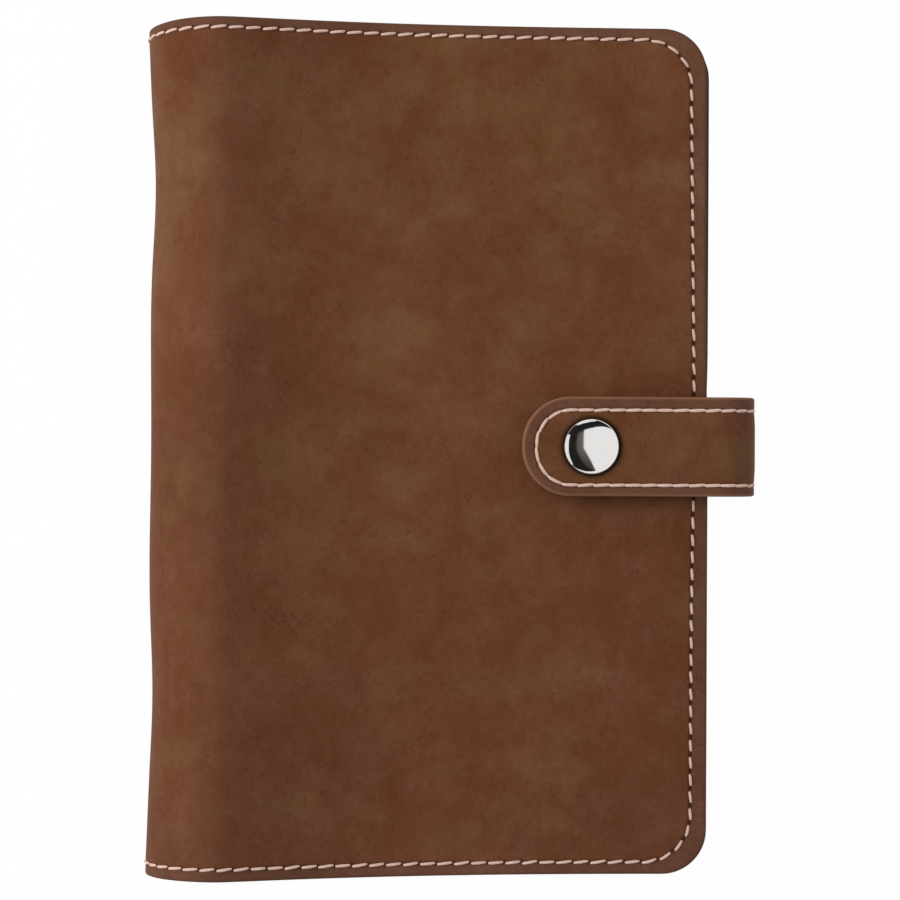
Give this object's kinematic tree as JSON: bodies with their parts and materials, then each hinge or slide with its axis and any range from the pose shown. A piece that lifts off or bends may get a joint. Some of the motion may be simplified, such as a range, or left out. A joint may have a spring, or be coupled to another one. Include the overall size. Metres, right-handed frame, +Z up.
{
  "type": "ring binder",
  "caption": "Small leather ring binder with a soft rounded spine, an inside ring mechanism with opening levers, slip pockets and a strap that snaps shut over the fore edge.",
  "frame": {"origin": "on the table under the middle of the closed binder with its strap", "axes": "+X from the spine to the fore edge and strap, +Y to the head of the book, +Z up out of the front cover"},
  "size_m": [0.1357, 0.19, 0.032],
  "materials": {
    "leather": "matte mottled brown leather with a fine grain",
    "lining": "smooth dark brown lining",
    "board": "grey board",
    "chrome": "polished chrome",
    "steel": "satin nickel-plated steel"
  },
  "bodies": {
    "back_cover": {"back_cover_leather": "leather", "back_board": "board", "back_lining": "lining", "back_slip_pocket": "lining", "strap_root_leather": "leather", "strap_root_lining": "lining"},
    "spine": {"spine_leather": "leather", "spine_backing_strip": "board", "spine_lining": "lining", "mechanism_plate": "steel", "head_rivet": "steel", "tail_rivet": "steel"},
    "front_cover": {"front_cover_leather": "leather", "front_board": "board", "front_lining": "lining", "front_slip_pocket": "lining", "front_card_pocket_1": "lining", "front_card_pocket_2": "lining", "snap_stud": "steel", "snap_stud_post": "steel"},
    "strap_bend": {"strap_bend_leather": "leather", "strap_bend_lining": "lining"},
    "strap_tongue": {"strap_tongue_leather": "leather", "strap_tongue_lining": "lining", "snap_cap": "chrome", "snap_socket": "steel"},
    "upper_rings": {"upper_blade": "steel", "upper_ring_1": "chrome", "upper_ring_2": "chrome", "upper_ring_3": "chrome", "upper_ring_4": "chrome", "upper_ring_5": "chrome", "upper_ring_6": "chrome"},
    "lower_rings": {"lower_blade": "steel", "lower_ring_1": "chrome", "lower_ring_2": "chrome", "lower_ring_3": "chrome", "lower_ring_4": "chrome", "lower_ring_5": "chrome", "lower_ring_6": "chrome"},
    "head_lever": {"head_lever": "steel"},
    "tail_lever": {"tail_lever": "steel"}
  },
  "joints": [
    {"name": "spine_fold", "type": "hinge", "parent": "back_cover", "child": "spine", "pos_m": [-0.06302, 0, 0.00469], "axis": [0, -1, 0], "range_deg": [0, 88]},
    {"name": "cover_fold", "type": "hinge", "parent": "spine", "child": "front_cover", "pos_m": [-0.06302, 0, 0.02731], "axis": [0, -1, 0], "range_deg": [0, 96]},
    {"name": "strap_root_fold", "type": "hinge", "parent": "back_cover", "child": "strap_bend", "pos_m": [0.06544, 0, 0.00413], "axis": [0, 1, 0], "range_deg": [0, 84]},
    {"name": "strap_tongue_fold", "type": "hinge", "parent": "strap_bend", "child": "strap_tongue", "pos_m": [0.06544, 0, 0.01607], "axis": [0, 1, 0], "range_deg": [0, 84]},
    {"name": "upper_rings_open", "type": "hinge", "parent": "spine", "child": "upper_rings", "pos_m": [-0.05967, 0, 0.0216], "axis": [0, -1, 0], "range_deg": [0, 11]},
    {"name": "lower_rings_open", "type": "hinge", "parent": "spine", "child": "lower_rings", "pos_m": [-0.05967, 0, 0.0104], "axis": [0, 1, 0], "range_deg": [0, 11]},
    {"name": "head_lever_press", "type": "hinge", "parent": "spine", "child": "head_lever", "pos_m": [-0.06092, 0.073, 0.016], "axis": [0, 0, 1], "range_deg": [0, 11]},
    {"name": "tail_lever_press", "type": "hinge", "parent": "spine", "child": "tail_lever", "pos_m": [-0.06092, -0.073, 0.016], "axis": [0, 0, -1], "range_deg": [0, 11]}
  ],
  "couplings": [
    {"joint": "strap_tongue_fold", "follows": "strap_root_fold", "ratio": 1},
    {"joint": "lower_rings_open", "follows": "upper_rings_open", "ratio": 1},
    {"joint": "head_lever_press", "follows": "upper_rings_open", "ratio": 1},
    {"joint": "tail_lever_press", "follows": "upper_rings_open", "ratio": 1}
  ]
}
